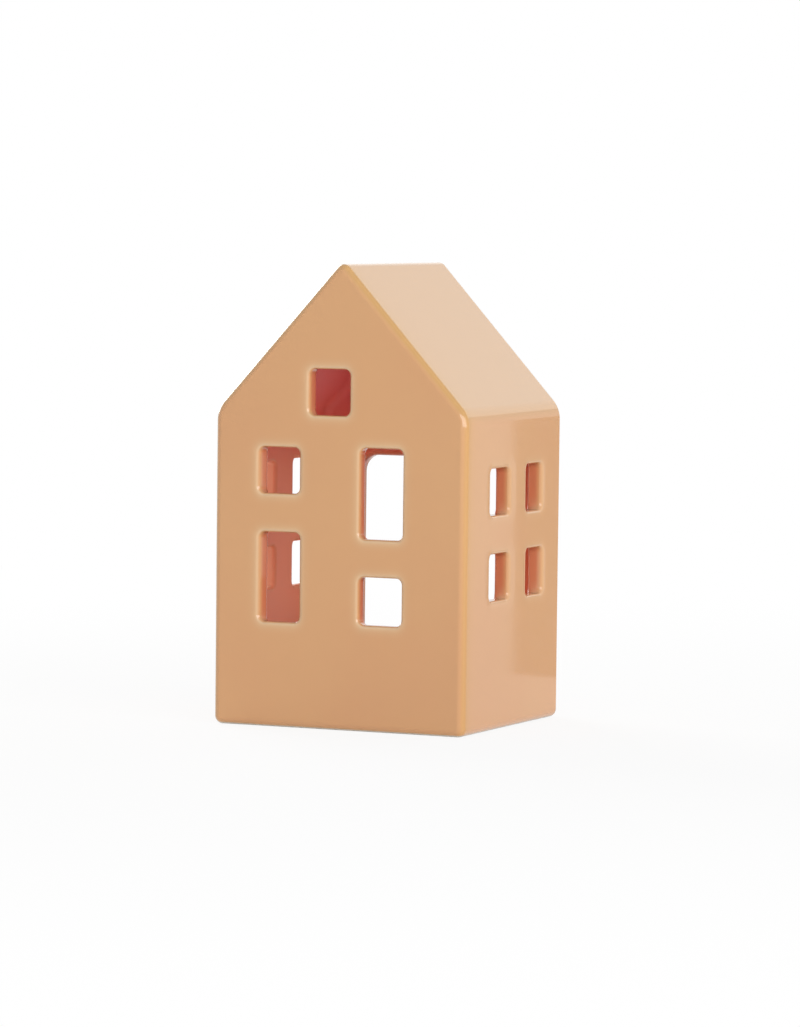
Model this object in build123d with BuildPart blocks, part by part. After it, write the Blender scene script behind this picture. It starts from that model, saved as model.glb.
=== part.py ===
from build123d import *
from math import cos, radians, tan
import os

# Tealight house: a hollow one-piece ceramic house with open windows, and the tealight inside it.
# Sizes are in millimetres. +Z is up, the front gable faces -Y, and the origin is under the middle of the base.

# House front, from its left edge to its right edge
left_margin = 14.0
pane_width = 13.5
pier_width = 18.8
right_margin = 20.2

# House front, from the base up to the eaves
sill_height = 30.8
small_pane_height = 13.4
row_gap = 11.3
tall_pane_height = 26.0
head_height = 10.6

# Gable window, set from the ridge line and from the heads of the windows below it
gable_window_offset = -3.6
gable_gap = 9.6

# House sides, from the front face to the back face and from the base up
front_margin = 18.3
front_pane_width = 14.2
side_pier_width = 12.1
back_pane_width = 13.2
back_margin = 13.2
side_sill_height = 37.8
side_pane_height = 13.3
side_row_gap = 11.5
side_pane_taper = 10.0

# Opening in the back wall
rear_opening_width = 47.0
rear_opening_height = 65.2
rear_corner_radius = 5.0
rear_sill_rise = 5.4

# Shell of the casting
wall = 4.6
floor_thickness = 4.6
roof_pitch = 47.7
foot_width = 5.5
foot_recess = 1.2
foot_corner_radius = 4.0
cut_past = 0.6

# Roundings of the casting
eave_radius = 8.5
edge_radius = 2.2
ridge_softening = 0.4
base_softening = 0.2
chamber_edge_radius = 2.6
chamber_softening = 0.4
pane_corner_radius = 1.2
outer_rim_radius = 1.0
inner_rim_radius = 0.8

# Tealight cup of thin pressed aluminium
cup_rim_diameter = 38.0
cup_base_diameter = 36.4
cup_height = 15.6
cup_wall = 0.3
cup_base_radius = 1.0
rim_bead_radius = 0.45

# Wax, wick and the tin sustainer that holds the wick
wax_height = 12.4
wax_clearance = 0.3
wax_edge_radius = 1.0
wick_diameter = 1.6
wick_stand = 6.0
sustainer_diameter = 13.0
sustainer_thickness = 0.3
collar_wall = 0.4
collar_height = 3.2
wick_fit = 0.05
sustainer_fit = 0.05

# Overall sizes that follow from the layout
house_width = left_margin + pane_width + pier_width + pane_width + right_margin
house_depth = front_margin + front_pane_width + side_pier_width + back_pane_width + back_margin
head_level = sill_height + small_pane_height + row_gap + tall_pane_height
eave_height = head_level + head_height
ridge_height = eave_height + house_width / 2 * tan(radians(roof_pitch))
floor_level = foot_recess + floor_thickness

# Window places on the front
left_column = -house_width / 2 + left_margin + pane_width / 2
right_column = house_width / 2 - right_margin - pane_width / 2
lower_small = sill_height + small_pane_height / 2
upper_small = head_level - small_pane_height / 2
lower_tall = sill_height + tall_pane_height / 2
upper_tall = head_level - tall_pane_height / 2
gable_level = head_level + gable_gap + small_pane_height / 2
small_windows = [
    (left_column, upper_small),
    (right_column, lower_small),
    (gable_window_offset, gable_level),
]
tall_windows = [(left_column, lower_tall), (right_column, upper_tall)]

# Window places on the sides, and the opening in the back
front_column = -house_depth / 2 + front_margin + front_pane_width / 2
back_column = house_depth / 2 - back_margin - back_pane_width / 2
lower_side = side_sill_height + side_pane_height / 2
upper_side = lower_side + side_pane_height + side_row_gap
side_columns = [(front_column, front_pane_width), (back_column, back_pane_width)]
rear_sill = floor_level + rear_sill_rise
rear_middle = rear_sill + rear_opening_height / 2

# Levels and radii of the tealight
cup_floor = floor_level + cup_wall
cup_top = floor_level + cup_height
cup_base_r = cup_base_diameter / 2
bead_ring_r = cup_rim_diameter / 2 - rim_bead_radius
cup_top_r = bead_ring_r - rim_bead_radius + cup_wall
wax_top = cup_floor + wax_height
wax_r = min(cup_base_r, cup_top_r) - cup_wall - wax_clearance
wick_r = wick_diameter / 2
wick_top = wax_top + wick_stand
collar_bore_r = wick_r + wick_fit
collar_r = collar_bore_r + collar_wall
sustainer_top = cup_floor + sustainer_thickness

front_plane = Plane.XZ.offset(house_depth / 2)
back_plane = Plane.XZ.offset(-house_depth / 2)
side_cuts = [(Plane.YZ.offset(house_width / 2), -1), (Plane.YZ.offset(-house_width / 2), 1)]
window_reach = wall + cut_past


def gable_points(inset, base):
    """Corners of the house's cross-section, moved in from the outside by inset and standing on base."""
    slope = tan(radians(roof_pitch))
    half_width = house_width / 2 - inset
    ridge = ridge_height - inset / cos(radians(roof_pitch))
    eave = ridge - half_width * slope
    return [(-half_width, base), (half_width, base), (half_width, eave), (0, ridge), (-half_width, eave)]


def rim_edges(faces):
    """Edges of the window holes in the given flat wall faces."""
    return [edge for face in faces for wire in face.inner_wires() for edge in wire.edges()]


# Chamber: the rounded hollow of the house, taken out of the solid outside
with BuildPart() as chamber:
    with BuildSketch(Plane.XZ) as chamber_section:
        with BuildLine():
            Polyline(*gable_points(wall, floor_level), close=True)
        make_face()
        fillet(chamber_section.vertices(), radius=chamber_edge_radius + chamber_softening)
    extrude(amount=house_depth / 2 - wall, both=True)
    chamber_ends = chamber.faces().sort_by(Axis.Y)
    fillet(chamber_ends[0].edges() + chamber_ends[-1].edges(), radius=chamber_edge_radius)

# House shell: rounded gabled block, hollowed out, with its foot, windows and rear opening
with BuildPart() as house_shell:
    with BuildSketch(Plane.XZ) as house_section:
        with BuildLine():
            Polyline(*gable_points(0, 0), close=True)
        make_face()
        fillet(house_section.vertices().group_by(Axis.Y)[-1], radius=edge_radius + ridge_softening)
        fillet(house_section.vertices().group_by(Axis.Y)[1], radius=eave_radius)
        fillet(house_section.vertices().group_by(Axis.Y)[0], radius=edge_radius + base_softening)
    extrude(amount=house_depth / 2, both=True)
    house_ends = house_shell.faces().sort_by(Axis.Y)
    fillet(house_ends[0].edges() + house_ends[-1].edges(), radius=edge_radius)
    add(chamber.part, mode=Mode.SUBTRACT)
    with BuildSketch(Plane.XY):
        foot_inset = 2 * foot_width
        RectangleRounded(house_width - foot_inset, house_depth - foot_inset, foot_corner_radius)
    extrude(amount=foot_recess, mode=Mode.SUBTRACT)
    with BuildSketch(front_plane):
        with Locations(*small_windows):
            RectangleRounded(pane_width, small_pane_height, pane_corner_radius)
        with Locations(*tall_windows):
            RectangleRounded(pane_width, tall_pane_height, pane_corner_radius)
    extrude(amount=-window_reach, mode=Mode.SUBTRACT)
    for side_plane, inward in side_cuts:
        with BuildSketch(side_plane):
            for column, column_pane_width in side_columns:
                with Locations((column, lower_side), (column, upper_side)):
                    RectangleRounded(column_pane_width, side_pane_height, pane_corner_radius)
        extrude(amount=inward * window_reach, taper=side_pane_taper, mode=Mode.SUBTRACT)
    with BuildSketch(back_plane):
        with Locations((0, rear_middle)):
            RectangleRounded(rear_opening_width, rear_opening_height, rear_corner_radius)
    extrude(amount=window_reach, mode=Mode.SUBTRACT)
    gables = house_shell.faces().filter_by(Axis.Y).sort_by(Axis.Y)
    sides = house_shell.faces().filter_by(Axis.X).sort_by(Axis.X)
    fillet(rim_edges([gables[0], gables[-1], sides[0], sides[-1]]), radius=outer_rim_radius)
    gables = house_shell.faces().filter_by(Axis.Y).sort_by(Axis.Y)
    sides = house_shell.faces().filter_by(Axis.X).sort_by(Axis.X)
    fillet(rim_edges([gables[1], gables[-2], sides[1], sides[-2]]), radius=inner_rim_radius)
house_shell.part.label = "house_shell"

# Tealight cup: tapered thin wall on a flat base, with its top edge rolled outwards
with BuildPart() as tealight_cup:
    with BuildSketch(Plane.XZ) as cup_section:
        with BuildLine():
            Polyline(
                (0, floor_level),
                (cup_base_r, floor_level),
                (cup_top_r, cup_top - rim_bead_radius),
                (cup_top_r - cup_wall, cup_top - rim_bead_radius),
                (cup_base_r - cup_wall, cup_floor),
                (0, cup_floor),
                close=True,
            )
        make_face()
        outer_corner = cup_section.vertices().sort_by_distance((cup_base_r, floor_level))[0]
        fillet(outer_corner, radius=cup_base_radius)
        inner_corner = cup_section.vertices().sort_by_distance((cup_base_r - cup_wall, cup_floor))[0]
        fillet(inner_corner, radius=cup_base_radius - cup_wall)
        with Locations((bead_ring_r, cup_top - rim_bead_radius)):
            Circle(rim_bead_radius)
    revolve(axis=Axis.Z)
tealight_cup.part.label = "tealight_cup"

# Wick sustainer: flat tin disc with a collar that grips the foot of the wick
with BuildPart() as wick_sustainer:
    with BuildSketch(Plane.XY.offset(cup_floor)):
        Circle(sustainer_diameter / 2)
    extrude(amount=sustainer_thickness)
    with BuildSketch(Plane.XY.offset(sustainer_top)):
        Circle(collar_r)
    extrude(amount=collar_height)
    with BuildSketch(Plane.XY.offset(cup_floor)):
        Circle(collar_bore_r)
    extrude(amount=sustainer_thickness + collar_height, mode=Mode.SUBTRACT)
wick_sustainer.part.label = "wick_sustainer"

# Wick: cotton cord from the foot of the sustainer to above the wax
with BuildPart() as wick:
    with BuildSketch(Plane.XY.offset(cup_floor)):
        Circle(wick_r)
    extrude(amount=wick_top - cup_floor)
wick.part.label = "wick"

# Wax: rounded disc cast round the wick, with a pocket below for the sustainer
with BuildPart() as tealight_wax:
    with BuildSketch(Plane.XY.offset(cup_floor)):
        Circle(wax_r)
    extrude(amount=wax_height)
    fillet(tealight_wax.edges().sort_by(Axis.Z)[0], radius=wax_edge_radius)
    with BuildSketch(Plane.XY.offset(cup_floor)):
        Circle(sustainer_diameter / 2 + sustainer_fit)
    extrude(amount=sustainer_thickness + sustainer_fit, mode=Mode.SUBTRACT)
    with BuildSketch(Plane.XY.offset(cup_floor)):
        Circle(collar_r + sustainer_fit)
    extrude(amount=sustainer_thickness + collar_height + sustainer_fit, mode=Mode.SUBTRACT)
    with BuildSketch(Plane.XY.offset(cup_floor)):
        Circle(wick_r + wick_fit)
    extrude(amount=wax_height, mode=Mode.SUBTRACT)
tealight_wax.part.label = "tealight_wax"

os.makedirs("parts", exist_ok=True)
for piece in (house_shell, tealight_cup, wick_sustainer, wick, tealight_wax):
    export_step(piece.part, f"parts/{piece.part.label}.step")
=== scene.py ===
"""Tealight house: a hollow house of glazed ceramic with open windows, and the tealight that stands in it.

Every surface is worked out in millimetres with numpy and put into its mesh in metres, in the frame's own
axes: +Z up, the front gable towards -Y, the origin under the middle of the base.
"""
import logging
from dataclasses import dataclass
from enum import Enum
from math import cos, pi, radians, sin, tan
from typing import Any

import bpy
import numpy as np
from mathutils import Matrix, Vector
from mathutils.geometry import delaunay_2d_cdt


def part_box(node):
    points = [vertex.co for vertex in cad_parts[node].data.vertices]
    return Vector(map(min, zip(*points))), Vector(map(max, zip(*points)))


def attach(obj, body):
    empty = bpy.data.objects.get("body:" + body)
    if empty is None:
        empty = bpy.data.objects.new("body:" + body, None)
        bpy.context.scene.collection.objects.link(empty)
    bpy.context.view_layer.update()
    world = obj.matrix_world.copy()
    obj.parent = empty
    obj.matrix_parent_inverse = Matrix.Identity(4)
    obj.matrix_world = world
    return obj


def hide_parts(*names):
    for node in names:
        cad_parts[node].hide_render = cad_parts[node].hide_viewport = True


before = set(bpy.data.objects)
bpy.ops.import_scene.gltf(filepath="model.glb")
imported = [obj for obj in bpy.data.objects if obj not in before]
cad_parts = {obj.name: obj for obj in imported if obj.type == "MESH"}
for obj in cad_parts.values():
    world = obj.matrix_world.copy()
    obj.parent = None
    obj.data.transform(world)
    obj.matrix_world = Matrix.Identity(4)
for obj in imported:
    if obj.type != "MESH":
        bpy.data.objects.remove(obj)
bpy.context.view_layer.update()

Array = np.ndarray
Colour = tuple[float, float, float]
Point = tuple[float, float, float]

MM = 0.001
# Distance over which the painted amber sheen of a lit front edge fades, in millimetres
EDGE_LIGHT_SPREAD = 2.2
WHITE: Colour = (1.0, 1.0, 1.0)
log = logging.getLogger("tealight_house")


def smooth_step(low: float, high: float, value: Array) -> Array:
    """Eased ramp 3x^2 - 2x^3 of a value, which may also fall.

    Args:
        low: Value where the ramp is 0.
        high: Value where the ramp is 1.
        value: Values to ease.

    Returns:
        The eased values, from 0 to 1.
    """
    x = np.clip((value - low) / (high - low), 0.0, 1.0)
    return x * x * (3.0 - 2.0 * x)


def arc(centre: tuple[float, float], radius: float, start: float, end: float, steps: int) -> Array:
    """Circular arc in a profile plane: centre + radius (cos a, sin a).

    Args:
        centre: Middle of the circle.
        radius: Radius of the circle.
        start: First angle in degrees.
        end: Last angle in degrees.
        steps: Number of chords.

    Returns:
        Points of the arc, one more than its chords.
    """
    angle = np.radians(np.linspace(start, end, steps + 1))
    return np.array(centre) + radius * np.stack([np.cos(angle), np.sin(angle)], -1)


class Paint(Enum):
    """Weights that the glaze reads at each point of the casting."""

    # Pale glaze break on window rims, and painted highlights and lifted light on edges, inner rims and sills
    BREAK_AND_LIGHT = "glaze_break_and_light"
    INSIDE = "inside"
    FOOT = "bare_foot"
    # Painted amber sheen on the edges that face the key light
    EDGE = "painted_edge_light"
    # Painted shade: the roof's darker tone
    ROOF = "roof_face"

    @property
    def column(self) -> int:
        """Column of the weight in a surface's paint."""
        return list(Paint).index(self)


@dataclass
class Skin:
    """A triangle surface in millimetres, with its outward normals and paint weights where it has them."""

    points: Array
    triangles: Array
    normals: Array | None = None
    paint: Array | None = None

    @staticmethod
    def from_grid(points: Array, normals: Array | None = None, paint: Array | None = None,
                  wrap: bool = False) -> "Skin":
        """Splits a grid of points into triangles, two for each cell.

        Args:
            points: Grid of shape (rows, columns, 3).
            normals: Outward normals on the same grid.
            paint: Paint weights on the same grid.
            wrap: Whether the last column joins the first.

        Returns:
            The surface of the grid.
        """
        rows, columns = points.shape[:2]
        here = np.arange(rows * columns).reshape(rows, columns)
        beside = np.roll(here, -1, axis=1)
        last = columns if wrap else columns - 1
        a, b = here[:-1, :last], here[1:, :last]
        c, d = beside[1:, :last], beside[:-1, :last]
        cells = np.stack([a, b, c, d], -1).reshape(-1, 4)
        triangles = np.concatenate([cells[:, [0, 1, 2]], cells[:, [0, 2, 3]]])
        flat_normals = None if normals is None else normals.reshape(-1, 3)
        flat_paint = None if paint is None else paint.reshape(-1, len(Paint))
        return Skin(points.reshape(-1, 3), triangles, flat_normals, flat_paint)

    @staticmethod
    def joined(skins: list["Skin"]) -> "Skin":
        """Puts several painted surfaces into one, with their points still apart.

        Args:
            skins: The surfaces.

        Returns:
            One surface.
        """
        starts = np.cumsum([0] + [len(skin.points) for skin in skins[:-1]])
        return Skin(
            np.concatenate([skin.points for skin in skins]),
            np.concatenate([skin.triangles + start for skin, start in zip(skins, starts)]),
            np.concatenate([skin.normals for skin in skins]),
            np.concatenate([skin.paint for skin in skins]),
        )

    def welded(self, tolerance: float = 0.002) -> "Skin":
        """Merges points that share a small cell of space, and drops triangles that shrink to a line.

        Args:
            tolerance: Side of the cell in millimetres.

        Returns:
            The closed surface.
        """
        # Keeps the borders of the cells off round values
        offset = np.array([0.3717, 0.2931, 0.4177]) * tolerance
        cells = np.floor((self.points + offset) / tolerance).astype(np.int64)
        _, first, merged = np.unique(cells, axis=0, return_index=True, return_inverse=True)
        triangles = merged.reshape(-1)[self.triangles]
        a, b, c = triangles.T
        triangles = triangles[(a != b) & (b != c) & (c != a)]
        normals = None if self.normals is None else self.normals[first]
        paint = None if self.paint is None else self.paint[first]
        return Skin(self.points[first], triangles, normals, paint)

    def outward(self) -> "Skin":
        """Turns each triangle to its points' normals, or the whole closed surface to a positive volume.

        Returns:
            The same surface.
        """
        a, b, c = (self.points[self.triangles[:, k]] for k in range(3))
        if self.normals is None:
            volume = np.einsum("ij,ij->i", a, np.cross(b, c)).sum()
            wrong = np.full(len(self.triangles), volume < 0.0)
        else:
            facing = self.normals[self.triangles].sum(axis=1)
            wrong = np.einsum("ij,ij->i", np.cross(b - a, c - a), facing) < 0.0
        self.triangles[wrong] = self.triangles[wrong][:, ::-1]
        return self

    def to_object(self, name: str) -> bpy.types.Object:
        """Makes a smooth mesh object of the surface, in metres and at the origin.

        Args:
            name: Name of the object and its mesh.

        Returns:
            The object, linked to the scene.
        """
        mesh = bpy.data.meshes.new(name)
        mesh.from_pydata((self.points * MM).tolist(), [], self.triangles.tolist())
        mesh.shade_smooth()
        if self.normals is not None:
            mesh.normals_split_custom_set_from_vertices(self.normals.tolist())
        if self.paint is not None:
            for column, paint in enumerate(Paint):
                layer = mesh.attributes.new(paint.value, "FLOAT", "POINT")
                layer.data.foreach_set("value", self.paint[:, column].astype(np.float32))
        mesh.update()
        thing = bpy.data.objects.new(name, mesh)
        bpy.context.scene.collection.objects.link(thing)
        log.info("%s: %d points, %d triangles", name, len(self.points), len(self.triangles))
        return thing


class Field:
    """One output socket, with arithmetic that adds the Math nodes for it."""

    def __init__(self, sheet: "NodeSheet", socket: bpy.types.NodeSocket) -> None:
        """Keeps the socket and the node tree that it belongs to."""
        self.sheet = sheet
        self.socket = socket

    def _math(self, operation: str, first: "Field | float", second: "Field | float") -> "Field":
        """Adds one Math node on two values."""
        node = self.sheet.add("ShaderNodeMath", {"operation": operation}, {0: first, 1: second})
        return self.sheet.out(node)

    def __add__(self, other: "Field | float") -> "Field":
        """Sum of two values."""
        return self._math("ADD", self, other)

    __radd__ = __add__

    def __sub__(self, other: "Field | float") -> "Field":
        """Difference of two values."""
        return self._math("SUBTRACT", self, other)

    def __rsub__(self, other: "Field | float") -> "Field":
        """Difference of a number and this value."""
        return self._math("SUBTRACT", other, self)

    def __mul__(self, other: "Field | float") -> "Field":
        """Product of two values."""
        return self._math("MULTIPLY", self, other)

    __rmul__ = __mul__


class NodeSheet:
    """The node tree of one finish."""

    def __init__(self, tree: bpy.types.NodeTree) -> None:
        """Starts from an empty tree."""
        self.tree = tree
        self.tree.nodes.clear()

    def add(self, kind: str, settings: dict[str, Any], sockets: dict[int | str, Any]) -> bpy.types.Node:
        """Adds a node, sets its options and then its sockets.

        Args:
            kind: Blender's name of the node type.
            settings: Options of the node, set before its sockets.
            sockets: Values or fields by socket name or number.

        Returns:
            The new node.
        """
        node = self.tree.nodes.new(kind)
        for name, option in settings.items():
            setattr(node, name, option)
        for key, value in sockets.items():
            socket = node.inputs[key]
            if isinstance(value, Field):
                self.tree.links.new(value.socket, socket)
            elif socket.type == "RGBA":
                socket.default_value = (*value, 1.0)
            else:
                socket.default_value = value
        return node

    def out(self, node: bpy.types.Node, output: int | str = 0) -> Field:
        """Wraps one output of a node."""
        return Field(self, node.outputs[output])

    def place(self) -> Field:
        """Object coordinates, in metres."""
        return self.out(self.add("ShaderNodeTexCoord", {}, {}), "Object")

    def weight(self, paint: Paint) -> Field:
        """Paint weight of the casting."""
        settings = {"attribute_type": "GEOMETRY", "attribute_name": paint.value}
        return self.out(self.add("ShaderNodeAttribute", settings, {}), "Fac")

    def noise(self, scale: float, detail: float, stretch: Point = (1.0, 1.0, 1.0)) -> Field:
        """Noise on Object coordinates.

        Args:
            scale: Features per metre.
            detail: Octaves of finer noise.
            stretch: Scale of each axis before the noise.

        Returns:
            A value from 0 to 1.
        """
        mapped = self.add("ShaderNodeMapping", {}, {"Vector": self.place(), "Scale": stretch})
        sockets = {"Vector": self.out(mapped), "Scale": scale, "Detail": detail, "Roughness": 0.5}
        return self.out(self.add("ShaderNodeTexNoise", {}, sockets), "Fac")

    def ramp(self, value: Field, low: float, high: float) -> Field:
        """Eased ramp of a value from 0 at low to 1 at high.

        Args:
            value: Value to ease.
            low: Value where the ramp is 0.
            high: Value where the ramp is 1.

        Returns:
            The eased value, from 0 to 1.
        """
        settings = {"interpolation_type": "SMOOTHSTEP"}
        sockets = {"Value": value, "From Min": low, "From Max": high}
        return self.out(self.add("ShaderNodeMapRange", settings, sockets))

    def mix(self, factor: Field, first: "Field | Colour", second: "Field | Colour") -> Field:
        """Colour between two colours."""
        sockets = {0: factor, 6: first, 7: second}
        return self.out(self.add("ShaderNodeMix", {"data_type": "RGBA"}, sockets), 2)

    def bump(self, height: Field, distance: float) -> Field:
        """Normal of a height field, with its distance in metres."""
        return self.out(self.add("ShaderNodeBump", {}, {"Height": height, "Distance": distance}))

    def surface(self, sockets: dict[int | str, Any]) -> None:
        """Ends the tree in a Principled BSDF with the given sockets."""
        shader = self.out(self.add("ShaderNodeBsdfPrincipled", {}, sockets))
        self.add("ShaderNodeOutputMaterial", {}, {"Surface": shader})


def new_finish(name: str) -> tuple[bpy.types.Material, NodeSheet]:
    """Starts a node material.

    Args:
        name: Name of the material.

    Returns:
        The material and its empty node tree.
    """
    material = bpy.data.materials.new(name)
    material.use_nodes = True
    return material, NodeSheet(material.node_tree)


@dataclass(frozen=True)
class ApricotGlaze:
    """Glossy glaze that breaks pale on window rims and is wiped off the foot, with painted light and shade.
    """

    body: Colour = (0.652, 0.348, 0.155)
    warm: Colour = (0.645, 0.333, 0.15)
    # Painted shade darkening the jambs into the windows
    jamb: Colour = (0.56, 0.18, 0.088)
    # Lining tones: a pinker inner glaze brightened with painted bounce light, most under the roof
    inner: Colour = (0.92, 0.36, 0.20)
    under_roof: Colour = (1.0, 0.36, 0.38)
    # Pale of the glaze break, also used for painted highlights and lifted light
    pale: Colour = (0.71, 0.49, 0.285)
    # Painted amber sheen of the lit front edges
    edge_light_tone: Colour = (0.60, 0.31, 0.04)
    # Painted shade: the roof darker than the body, for the extra light it takes
    roof: Colour = (0.590, 0.332, 0.136)
    bisque: Colour = (0.80, 0.75, 0.66)
    sandy: Colour = (0.72, 0.66, 0.57)
    gloss: float = 0.06
    dull: float = 0.48
    bare: float = 0.78
    ripple: float = 0.00003
    ior: float = 1.57
    # Heights in metres between which the lining turns to its tone under the roof, redder and brighter with
    # painted bounce light
    roof_start: tuple[float, float] = (0.072, 0.1)

    def material(self) -> bpy.types.Material:
        """Builds the glaze from the casting's paint weights and slow noise.

        Returns:
            The glaze.
        """
        material, sheet = new_finish("apricot_glaze")
        cloud = sheet.noise(22.0, 2.0)
        drift = sheet.noise(70.0, 3.0)
        grain = sheet.noise(2600.0, 2.0)
        colour = sheet.mix(sheet.ramp(cloud, 0.35, 0.7), self.body, self.warm)
        # Painted shade on the roof
        colour = sheet.mix(sheet.weight(Paint.ROOF), colour, self.roof)
        inside = sheet.weight(Paint.INSIDE)
        deep = sheet.ramp(inside, 0.5, 1.0)
        height = sheet.out(sheet.add("ShaderNodeSeparateXYZ", {}, {0: sheet.place()}), "Z")
        # Lining with painted bounce light, brighter and redder under the roof
        lining = sheet.mix(sheet.ramp(height, *self.roof_start), self.inner, self.under_roof)
        # Painted shade into the jambs
        colour = sheet.mix(sheet.ramp(inside, 0.0, 0.5), colour, self.jamb)
        colour = sheet.mix(deep, colour, lining)
        # Painted amber sheen on the lit edges
        colour = sheet.mix(sheet.weight(Paint.EDGE), colour, self.edge_light_tone)
        # Glaze break on rims, with painted highlights and lifted light on edges, inner rims and sills
        pale_share = sheet.weight(Paint.BREAK_AND_LIGHT) * (0.82 + 0.36 * drift)
        colour = sheet.mix(pale_share, colour, self.pale)
        foot = sheet.ramp(sheet.weight(Paint.FOOT) + 0.3 * drift, 0.55, 0.72)
        colour = sheet.mix(foot, colour, sheet.mix(grain, self.bisque, self.sandy))
        roughness = self.gloss + 0.04 * cloud + deep * (self.dull - self.gloss)
        roughness = roughness + foot * (self.bare - self.gloss)
        relief = (1.0 - foot) * drift + 0.35 * foot * grain
        sheet.surface({
            "Base Color": colour,
            "Roughness": roughness,
            "IOR": self.ior,
            "Normal": sheet.bump(relief, self.ripple),
        })
        return material


@dataclass(frozen=True)
class CupAluminium:
    """Thin pressed aluminium with fine draw lines up the wall."""

    metal: Colour = (0.83, 0.83, 0.84)
    dull: Colour = (0.70, 0.70, 0.71)
    roughness: float = 0.24

    def material(self) -> bpy.types.Material:
        """Builds the metal from noise stretched along Z.

        Returns:
            The metal.
        """
        material, sheet = new_finish("cup_aluminium")
        lines = sheet.noise(1700.0, 3.0, (1.0, 1.0, 0.03))
        cloud = sheet.noise(160.0, 2.0)
        sheet.surface({
            "Base Color": sheet.mix(sheet.ramp(cloud, 0.3, 0.75), self.metal, self.dull),
            "Metallic": 1.0,
            "Roughness": self.roughness + 0.16 * lines,
            "Normal": sheet.bump(lines, 0.00002),
        })
        return material


@dataclass(frozen=True)
class CandleWax:
    """Poured paraffin, faintly cloudy, with a soft sheen."""

    clear: Colour = (0.90, 0.88, 0.83)
    cloudy: Colour = (0.84, 0.81, 0.74)

    def material(self) -> bpy.types.Material:
        """Builds the wax from slow clouds and fine frost.

        Returns:
            The wax.
        """
        material, sheet = new_finish("candle_wax")
        cloud = sheet.noise(140.0, 3.0)
        frost = sheet.noise(1500.0, 2.0)
        sheet.surface({
            "Base Color": sheet.mix(sheet.ramp(cloud, 0.35, 0.75), self.clear, self.cloudy),
            "Roughness": 0.34 + 0.2 * frost,
            "Subsurface Weight": 0.35,
            "Subsurface Radius": (1.0, 0.8, 0.6),
            "Subsurface Scale": 0.002,
            "Normal": sheet.bump(frost + cloud, 0.00003),
        })
        return material


@dataclass(frozen=True)
class WickCotton:
    """Braided cotton with a film of wax."""

    thread: Colour = (0.80, 0.77, 0.69)
    shade: Colour = (0.62, 0.57, 0.47)

    def material(self) -> bpy.types.Material:
        """Builds the cotton from noise drawn out along the threads.

        Returns:
            The cotton.
        """
        material, sheet = new_finish("wick_cotton")
        fibre = sheet.noise(5200.0, 3.0, (1.0, 1.0, 0.3))
        sheet.surface({
            "Base Color": sheet.mix(sheet.ramp(fibre, 0.3, 0.7), self.thread, self.shade),
            "Roughness": 0.62 + 0.25 * fibre,
            "Normal": sheet.bump(fibre, 0.00005),
        })
        return material


@dataclass(frozen=True)
class StampedTin:
    """Stamped tinplate with faint rolling marks."""

    metal: Colour = (0.66, 0.67, 0.68)
    dull: Colour = (0.52, 0.53, 0.55)

    def material(self) -> bpy.types.Material:
        """Builds the tin from noise drawn out along X.

        Returns:
            The tin.
        """
        material, sheet = new_finish("stamped_tin")
        marks = sheet.noise(2400.0, 3.0, (0.08, 1.0, 1.0))
        sheet.surface({
            "Base Color": sheet.mix(marks, self.metal, self.dull),
            "Metallic": 1.0,
            "Roughness": 0.3 + 0.2 * marks,
            "Normal": sheet.bump(marks, 0.00001),
        })
        return material


class Side(Enum):
    """Straight sides of the gabled section, in the order of its corners."""

    FLOOR = 0
    RIGHT_WALL = 1
    RIGHT_ROOF = 2
    LEFT_ROOF = 3
    LEFT_WALL = 4


@dataclass(frozen=True)
class Run:
    """One stretch of the section's outline: points and outward normals in the XZ plane."""

    points: Array
    normals: Array
    side: Side | None = None


@dataclass(frozen=True)
class GableSection:
    """Cross-section of the house with rounded corners."""

    half_width: float
    base: float
    eave: float
    ridge: float
    base_radius: float
    eave_radius: float
    ridge_radius: float

    def runs(self, spacing: float, arc_steps: int) -> list[Run]:
        """Walks round the section: at each corner an arc tangent to both sides, then the straight side.

        Args:
            spacing: Longest step along a straight side.
            arc_steps: Chords in each corner.

        Returns:
            Ten runs, each starting where the last one ends.
        """
        w = self.half_width
        corners = np.array([
            [-w, self.base], [w, self.base], [w, self.eave], [0.0, self.ridge], [-w, self.eave],
        ])
        base, eave = self.base_radius, self.eave_radius
        radii = np.array([base, base, eave, self.ridge_radius, eave])
        ahead = np.roll(corners, -1, axis=0) - corners
        ahead /= np.linalg.norm(ahead, axis=1, keepdims=True)
        behind = np.roll(ahead, 1, axis=0)
        turn = np.arccos(np.einsum("ij,ij->i", ahead, behind))
        trim = (radii * np.tan(turn / 2.0))[:, None]
        starts, ends = corners - behind * trim, corners + ahead * trim
        heading = np.arctan2(-behind[:, 0], behind[:, 1])
        runs = []
        for side in Side:
            k = side.value
            angle = np.linspace(heading[k], heading[k] + turn[k], arc_steps + 1)
            normals = np.stack([np.cos(angle), np.sin(angle)], -1)
            runs.append(Run(starts[k] + radii[k] * (normals - normals[0]), normals))
            following = starts[(k + 1) % len(Side)]
            steps = int(np.ceil(np.linalg.norm(following - ends[k]) / spacing))
            share = np.linspace(0.0, 1.0, steps + 1)[:, None]
            straight = ends[k] * (1.0 - share) + following * share
            runs.append(Run(straight, np.tile(normals[-1], (steps + 1, 1)), side))
        return runs


@dataclass(frozen=True)
class WallFrame:
    """A flat side of the casting: where it is, its two directions and the way into the clay."""

    origin: Point
    across: Point
    up: Point
    inward: Point

    def place(self, flat: Array, depth: Array | float = 0.0) -> Array:
        """Points at flat places on the side, moved in by depth."""
        return np.array(self.origin) + self.turn(flat, depth)

    def turn(self, flat: Array, depth: Array | float) -> Array:
        """Directions with the given parts along the side and into the clay.

        Args:
            flat: Parts along the side.
            depth: Parts into the clay.

        Returns:
            One direction for each flat place.
        """
        depth = np.broadcast_to(np.asarray(depth, float), flat.shape[:-1])[..., None]
        across, up, inward = (np.array(way) for way in (self.across, self.up, self.inward))
        return flat[..., :1] * across + flat[..., 1:] * up + depth * inward


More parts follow.
